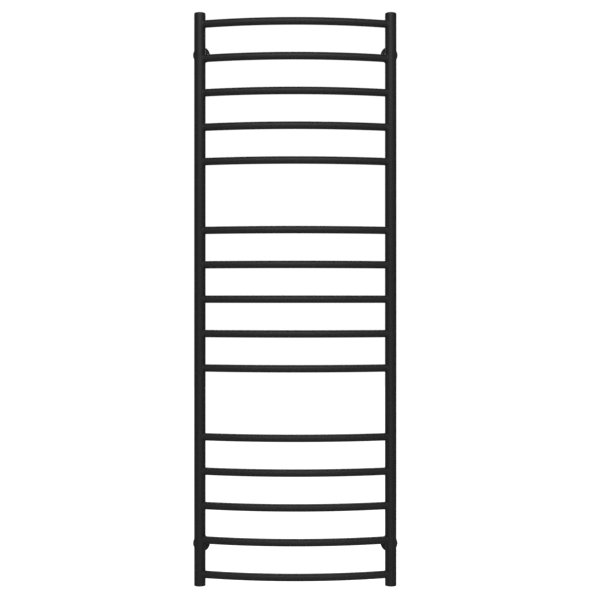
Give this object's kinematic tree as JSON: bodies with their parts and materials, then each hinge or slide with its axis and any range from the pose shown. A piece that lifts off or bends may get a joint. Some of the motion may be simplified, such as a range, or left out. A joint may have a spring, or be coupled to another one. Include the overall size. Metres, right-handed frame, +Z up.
{
  "type": "towel warmer rack",
  "caption": "Wall-hung ladder towel rail of bowed round tubes in groups between two upright posts, with telescopic wall brackets and air vents, fed with hot water.",
  "frame": {"origin": "the wall plane, in the middle of the four bracket centres, at the rail's mid-height", "axes": "+X to the right seen from the front, +Y from the room into the wall, +Z up along the posts; the front faces -Y"},
  "size_m": [0.545, 0.15, 1.5],
  "materials": {
    "powder_coat": "satin black powder coat",
    "zinc_plate": "bright zinc plate",
    "nickel_plate": "satin nickel plate",
    "brass": "turned brass",
    "seal_rubber": "matt black rubber"
  },
  "bodies": {
    "wall_brackets": {"wall_socket_top_left": "powder_coat", "wall_screw_top_left": "zinc_plate", "wall_socket_top_right": "powder_coat", "wall_screw_top_right": "zinc_plate", "wall_socket_bottom_left": "powder_coat", "wall_screw_bottom_left": "zinc_plate", "wall_socket_bottom_right": "powder_coat", "wall_screw_bottom_right": "zinc_plate"},
    "ladder": {"left_post": "powder_coat", "right_post": "powder_coat", "left_top_cap": "powder_coat", "right_top_cap": "powder_coat", "bar_01": "powder_coat", "bar_02": "powder_coat", "bar_03": "powder_coat", "bar_04": "powder_coat", "bar_05": "powder_coat", "bar_06": "powder_coat", "bar_07": "powder_coat", "bar_08": "powder_coat", "bar_09": "powder_coat", "bar_10": "powder_coat", "bar_11": "powder_coat", "bar_12": "powder_coat", "bar_13": "powder_coat", "bar_14": "powder_coat", "bar_15": "powder_coat", "left_pipe_bush": "zinc_plate", "right_pipe_bush": "zinc_plate", "left_vent_bush": "powder_coat", "right_vent_bush": "powder_coat", "left_vent_seal": "seal_rubber", "right_vent_seal": "seal_rubber", "left_vent_plug": "nickel_plate", "right_vent_plug": "nickel_plate", "stem_top_left": "powder_coat", "stem_top_right": "powder_coat", "stem_bottom_left": "powder_coat", "stem_bottom_right": "powder_coat"},
    "left_vent_screw": {"left_vent_screw": "brass"},
    "right_vent_screw": {"right_vent_screw": "brass"},
    "rosette_top_left": {"rosette_top_left": "powder_coat"},
    "grub_screw_top_left": {"grub_screw_top_left": "zinc_plate"},
    "rosette_top_right": {"rosette_top_right": "powder_coat"},
    "grub_screw_top_right": {"grub_screw_top_right": "zinc_plate"},
    "rosette_bottom_left": {"rosette_bottom_left": "powder_coat"},
    "grub_screw_bottom_left": {"grub_screw_bottom_left": "zinc_plate"},
    "rosette_bottom_right": {"rosette_bottom_right": "powder_coat"},
    "grub_screw_bottom_right": {"grub_screw_bottom_right": "zinc_plate"}
  },
  "joints": [
    {"name": "wall_distance", "type": "slide", "parent": "wall_brackets", "child": "ladder", "axis": [0, -1, 0], "range_m": [-0.01, 0.012]},
    {"name": "left_vent_turn", "type": "hinge", "parent": "ladder", "child": "left_vent_screw", "pos_m": [-0.25, -0.035, 0.732], "axis": [0, 1, 0], "range_deg": [0, 450]},
    {"name": "right_vent_turn", "type": "hinge", "parent": "ladder", "child": "right_vent_screw", "pos_m": [0.25, -0.035, 0.732], "axis": [0, 1, 0], "range_deg": [0, 450]},
    {"name": "rosette_slide_top_left", "type": "slide", "parent": "wall_brackets", "child": "rosette_top_left", "axis": [0, -1, 0], "range_m": [0, 0.014]},
    {"name": "grub_turn_top_left", "type": "hinge", "parent": "wall_brackets", "child": "grub_screw_top_left", "pos_m": [-0.25, -0.029, 0.6397], "axis": [0, 0, -1], "range_deg": [0, 540]},
    {"name": "rosette_slide_top_right", "type": "slide", "parent": "wall_brackets", "child": "rosette_top_right", "axis": [0, -1, 0], "range_m": [0, 0.014]},
    {"name": "grub_turn_top_right", "type": "hinge", "parent": "wall_brackets", "child": "grub_screw_top_right", "pos_m": [0.25, -0.029, 0.6397], "axis": [0, 0, -1], "range_deg": [0, 540]},
    {"name": "rosette_slide_bottom_left", "type": "slide", "parent": "wall_brackets", "child": "rosette_bottom_left", "axis": [0, -1, 0], "range_m": [0, 0.014]},
    {"name": "grub_turn_bottom_left", "type": "hinge", "parent": "wall_brackets", "child": "grub_screw_bottom_left", "pos_m": [-0.25, -0.029, -0.6603], "axis": [0, 0, -1], "range_deg": [0, 540]},
    {"name": "rosette_slide_bottom_right", "type": "slide", "parent": "wall_brackets", "child": "rosette_bottom_right", "axis": [0, -1, 0], "range_m": [0, 0.014]},
    {"name": "grub_turn_bottom_right", "type": "hinge", "parent": "wall_brackets", "child": "grub_screw_bottom_right", "pos_m": [0.25, -0.029, -0.6603], "axis": [0, 0, -1], "range_deg": [0, 540]}
  ]
}
